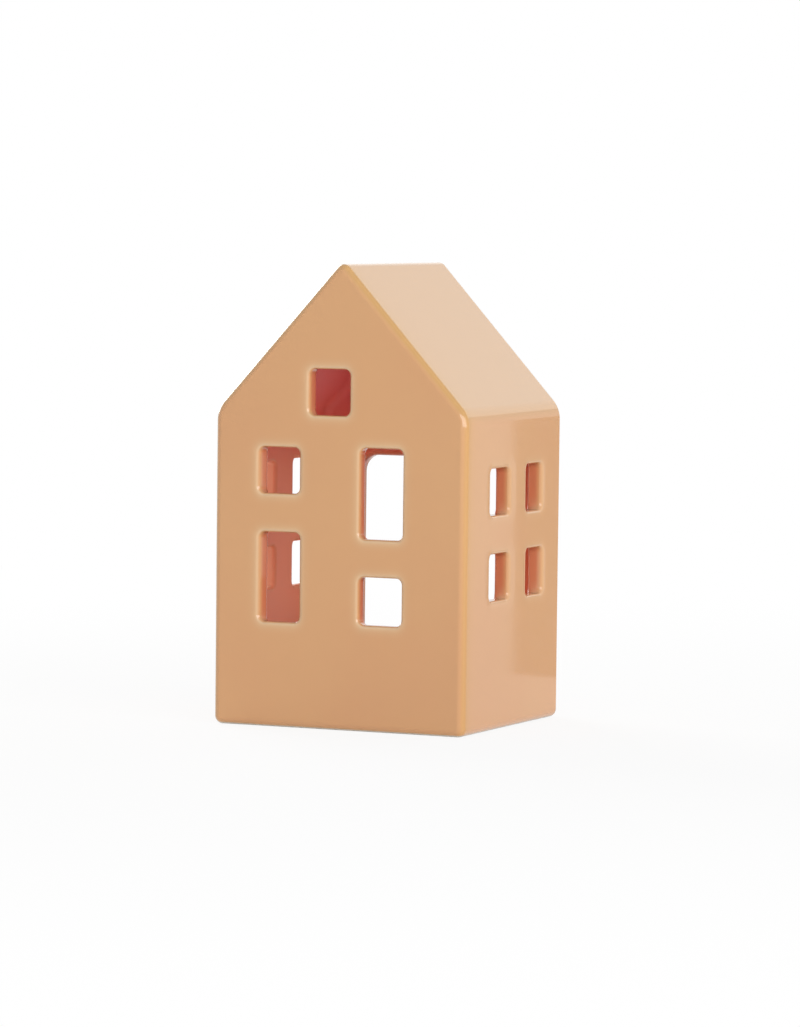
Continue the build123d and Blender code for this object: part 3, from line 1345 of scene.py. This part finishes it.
    def wick(self, cotton: bpy.types.Material) -> bpy.types.Object:
        """Wick: a tube with two crossing spirals of thread, which leans a little above the wax.

        Args:
            cotton: Finish of the wick.

        Returns:
            The wick.
        """
        floor = self.stand + self.cup_wall
        top = floor + self.wax_height + self.wick_stand
        height = np.linspace(floor, top, 170)
        tip = self.wick_tip
        close = np.sqrt(np.clip(1.0 - ((height - top + tip) / tip).clip(0.0) ** 2, 0.0, 1.0))
        radius = np.concatenate([[0.0], 0.9 * self.wick_radius * close])
        profile = np.stack([radius, np.concatenate([[floor], height])], -1)
        steps = 48
        angle = np.linspace(0.0, 2.0 * pi, steps, endpoint=False)
        climb = 2.0 * pi * profile[:, 1:] / self.braid_pitch
        braid = np.maximum(np.cos(3.0 * angle + climb), np.cos(3.0 * angle - climb)) - 0.4
        thread = self.braid_relief * self.wick_radius * braid * (profile[:, :1] / self.wick_radius)
        points = turned(profile, steps, thread)
        above = np.clip((points[..., 2] - (top - self.wick_stand)) / self.wick_stand, 0.0, 1.0)
        points[..., 0] += self.wick_lean * above ** 2
        points[..., 1] -= 0.4 * self.wick_lean * above ** 2
        piece = Skin.from_grid(points, wrap=True).welded().outward().to_object("braided_wick")
        return self.dress(piece, cotton, "candle", "wick", "wick_cotton")

    def sustainer(self, tin: bpy.types.Material) -> bpy.types.Object:
        """Sustainer: a disc with a turned edge and a collar that three crimps press against the wick.

        Args:
            tin: Finish of the sustainer.

        Returns:
            The sustainer.
        """
        floor = self.stand + self.cup_wall
        face, top = floor + self.tin, floor + self.tin + self.collar_height
        bore = self.wick_bore
        edge, lip = self.tin / 2.0, self.collar_round
        rise = np.linspace(face + 0.25, top - lip, 14)
        profile = np.concatenate([
            [[bore, floor], [bore + 0.2, floor]],
            np.stack([np.linspace(2.0, self.tin_radius - edge, 6), np.full(6, floor)], -1),
            arc((self.tin_radius - edge, floor + edge), edge, -90, 90, 6),
            np.stack([np.linspace(self.tin_radius - 0.4, self.collar + 0.3, 6), np.full(6, face)], -1),
            np.stack([np.full(14, self.collar), rise], -1),
            arc((self.collar - lip, top - lip), lip, 0, 90, 4),
            [[bore + 0.1, top]],
            np.stack([np.full(14, bore), rise[::-1]], -1),
            [[bore, floor]],
        ])
        steps = 96
        angle = np.linspace(0.0, 2.0 * pi, steps, endpoint=False)
        height = profile[:, 1:]
        radius = profile[:, :1]
        outer = smooth_step(bore + 0.15, self.collar - 0.02, radius) * (radius < self.collar + 0.2)
        band = smooth_step(face + 0.4, face + 1.1, height) * smooth_step(top - 0.2, top - 0.9, height)
        crimp = np.clip(np.cos(3.0 * angle), 0.0, None) ** 4
        points = turned(profile, steps, -self.crimp_depth * outer * band * crimp)
        piece = Skin.from_grid(points, wrap=True).welded().outward().to_object("tin_sustainer")
        return self.dress(piece, tin, "candle", "wick_sustainer", "tinplate")

    @staticmethod
    def dress(piece: bpy.types.Object, finish: bpy.types.Material, body: str, node: str,
              slot: str) -> bpy.types.Object:
        """Gives a piece its finish, the body that it rides on and the CAD node that it stands for.

        Args:
            piece: The piece.
            finish: Its material.
            body: Body that it moves with.
            node: CAD node that it replaces.
            slot: Material slot of the record; not used.

        Returns:
            The same piece.
        """
        piece.data.materials.append(finish)
        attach(piece, body)
        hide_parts(node)
        return piece


@dataclass(frozen=True)
class PhotoCamera:
    """The photograph's camera: place round the house, roll and lens, in millimetres and pixels."""

    azimuth: float = 24.347
    elevation: float = 3.641
    roll: float = 0.6645
    distance: float = 1474.08
    aside: float = 3.1116
    level: float = 61.12
    focal_pixels: float = 5000.3
    frame_height: float = 1027.0
    sensor: float = 36.0

    def build(self) -> bpy.types.Object:
        """Places the camera and makes it the scene's.

        Returns:
            The camera.
        """
        a, e, roll = radians(self.azimuth), radians(self.elevation), radians(self.roll)
        back = Vector((sin(a) * cos(e), -cos(a) * cos(e), sin(e)))
        right = Vector((cos(a), sin(a), 0.0))
        up = back.cross(right)
        x_axis = right * cos(roll) + up * sin(roll)
        y_axis = up * cos(roll) - right * sin(roll)
        eye = (back * self.distance + right * self.aside + Vector((0.0, 0.0, self.level))) * MM
        data = bpy.data.cameras.new("photo_camera")
        data.sensor_width = self.sensor
        data.lens = self.sensor * self.focal_pixels / self.frame_height
        data.clip_end = 20.0
        camera = bpy.data.objects.new("photo_camera", data)
        turn = Matrix((x_axis, y_axis, back)).transposed().to_4x4()
        camera.matrix_world = Matrix.Translation(eye) @ turn
        bpy.context.scene.collection.objects.link(camera)
        bpy.context.scene.camera = camera
        return camera


@dataclass(frozen=True)
class Softbox:
    """One soft lamp: its place and the point that it faces, in metres, its size and its brightness."""

    name: str
    place: Point
    target: Point
    width: float
    height: float
    radiance: float

    def build(self) -> bpy.types.Object:
        """Makes the lamp, whose power is four times its radiance times its area.

        Returns:
            The lamp.
        """
        data = bpy.data.lights.new(self.name, "AREA")
        data.shape = "RECTANGLE"
        data.size = self.width
        data.size_y = self.height
        data.energy = 4.0 * self.radiance * self.width * self.height
        lamp = bpy.data.objects.new(self.name, data)
        aim = Vector(self.target) - Vector(self.place)
        lamp.rotation_euler = aim.to_track_quat("-Z", "Y").to_euler()
        lamp.location = self.place
        lamp.visible_camera = False
        bpy.context.scene.collection.objects.link(lamp)
        return lamp


@dataclass(frozen=True)
class Studio:
    """White studio: a pale floor, an even sky, soft lamps and a grey flag, whose sizes are in millimetres."""

    ambient: float = 0.47
    floor_tone: Colour = (0.9, 0.9, 0.9)
    floor_glow: float = 1.0
    floor_share: float = 0.88
    floor_half: float = 6.0
    floor_fade: tuple[float, float] = (0.15, 0.6)
    flag_tone: Colour = (0.5, 0.5, 0.5)
    flag_span: tuple[float, float] = (70.0, 104.0)
    flag_height: float = 96.0
    flag_place: float = 150.0
    flag_bow: float = 4.0
    lamps: tuple[Softbox, ...] = (
        Softbox("key_softbox", (1.2, -0.9, 0.47), (0.0, 0.0, 0.06), 1.8, 0.84, 2.95),
        Softbox("left_softbox", (-1.1, 0.75, 0.6), (0.0, 0.0, 0.06), 0.9, 0.9, 4.0),
        Softbox("roof_panel", (0.1, 0.75, 0.52), (0.0, 0.0, 0.1), 1.1, 0.5, 0.45),
    )

    @staticmethod
    def seen(sheet: NodeSheet) -> Field:
        """1 for rays from the camera, from gloss and from glass, and 0 for light on the object.

        Args:
            sheet: Node tree of the sky or the floor.

        Returns:
            The value.
        """
        path = sheet.add("ShaderNodeLightPath", {}, {})
        rays = [sheet.out(path, f"Is {kind} Ray") for kind in ("Camera", "Glossy", "Transmission")]
        settings = {"operation": "MAXIMUM"}
        first = sheet.out(sheet.add("ShaderNodeMath", settings, {0: rays[0], 1: rays[1]}))
        return sheet.out(sheet.add("ShaderNodeMath", settings, {0: first, 1: rays[2]}))

    def build(self) -> None:
        """Makes the sky, the floor, the flag and the lamps, and sets the plain view transform."""
        scene = bpy.context.scene
        scene.view_settings.view_transform = "Standard"
        scene.world = bpy.data.worlds.new("white_studio")
        scene.world.use_nodes = True
        sky = NodeSheet(scene.world.node_tree)
        strength = self.ambient + (1.0 - self.ambient) * self.seen(sky)
        glow = sky.out(sky.add("ShaderNodeBackground", {}, {"Color": WHITE, "Strength": strength}))
        sky.add("ShaderNodeOutputWorld", {}, {"Surface": glow})
        self.floor()
        self.flag()
        for lamp in self.lamps:
            lamp.build()

    def floor(self) -> bpy.types.Object:
        """Pale floor that keeps the object's shadow, with a share of plain white for what looks at it.

        Returns:
            The floor.
        """
        side = np.linspace(-self.floor_half, self.floor_half, 2) / MM
        corners = np.stack(np.meshgrid(side, side, indexing="ij"), -1)
        points = np.concatenate([corners, np.full((2, 2, 1), -0.02)], -1)
        upward = np.tile([0.0, 0.0, 1.0], (2, 2, 1))
        floor = Skin.from_grid(points, upward).outward().to_object("studio_floor")
        material, sheet = new_finish("studio_floor")
        paper = sheet.out(sheet.add("ShaderNodeBsdfDiffuse", {}, {"Color": self.floor_tone}))
        white = sheet.out(sheet.add("ShaderNodeEmission", {}, {"Color": WHITE, "Strength": self.floor_glow}))
        length = sheet.add("ShaderNodeVectorMath", {"operation": "LENGTH"}, {0: sheet.place()})
        far = sheet.out(length, "Value")
        looked_at = self.seen(sheet)
        share = self.floor_share + (1.0 - self.floor_share) * sheet.ramp(far, *self.floor_fade)
        mixed = sheet.out(sheet.add("ShaderNodeMixShader", {}, {0: looked_at * share, 1: paper, 2: white}))
        sheet.add("ShaderNodeOutputMaterial", {}, {"Surface": mixed})
        floor.data.materials.append(material)
        return floor

    def flag(self) -> bpy.types.Object:
        """Grey flag beside the set, which only gloss sees: the far half of the right wall mirrors it.

        Returns:
            The flag, a sheet bowed towards the house.
        """
        across, height = np.meshgrid(np.linspace(-1.0, 1.0, 9), np.linspace(0.0, self.flag_height, 9))
        middle, half = sum(self.flag_span) / 2.0, (self.flag_span[1] - self.flag_span[0]) / 2.0
        behind = self.flag_place - self.flag_bow * (1.0 - across ** 2)
        points = np.stack([middle + half * across, behind, height], -1)
        flag = Skin.from_grid(points, np.tile([0.0, -1.0, 0.0], (9, 9, 1))).outward().to_object("grey_flag")
        material, sheet = new_finish("grey_flag")
        felt = sheet.out(sheet.add("ShaderNodeBsdfDiffuse", {}, {"Color": self.flag_tone}))
        sheet.add("ShaderNodeOutputMaterial", {}, {"Surface": felt})
        flag.data.materials.append(material)
        flag.visible_camera = flag.visible_diffuse = flag.visible_transmission = flag.visible_shadow = False
        return flag


def main() -> None:
    """Builds the house, the tealight, the studio and the camera."""
    logging.basicConfig(level=logging.INFO, format="%(name)s %(message)s")
    HouseCasting().build(ApricotGlaze().material())
    tealight = Tealight()
    tealight.cup(CupAluminium().material())
    tealight.wax(CandleWax().material())
    tealight.sustainer(StampedTin().material())
    tealight.wick(WickCotton().material())
    Studio().build()
    PhotoCamera().build()


if __name__ == "__main__":
    main()
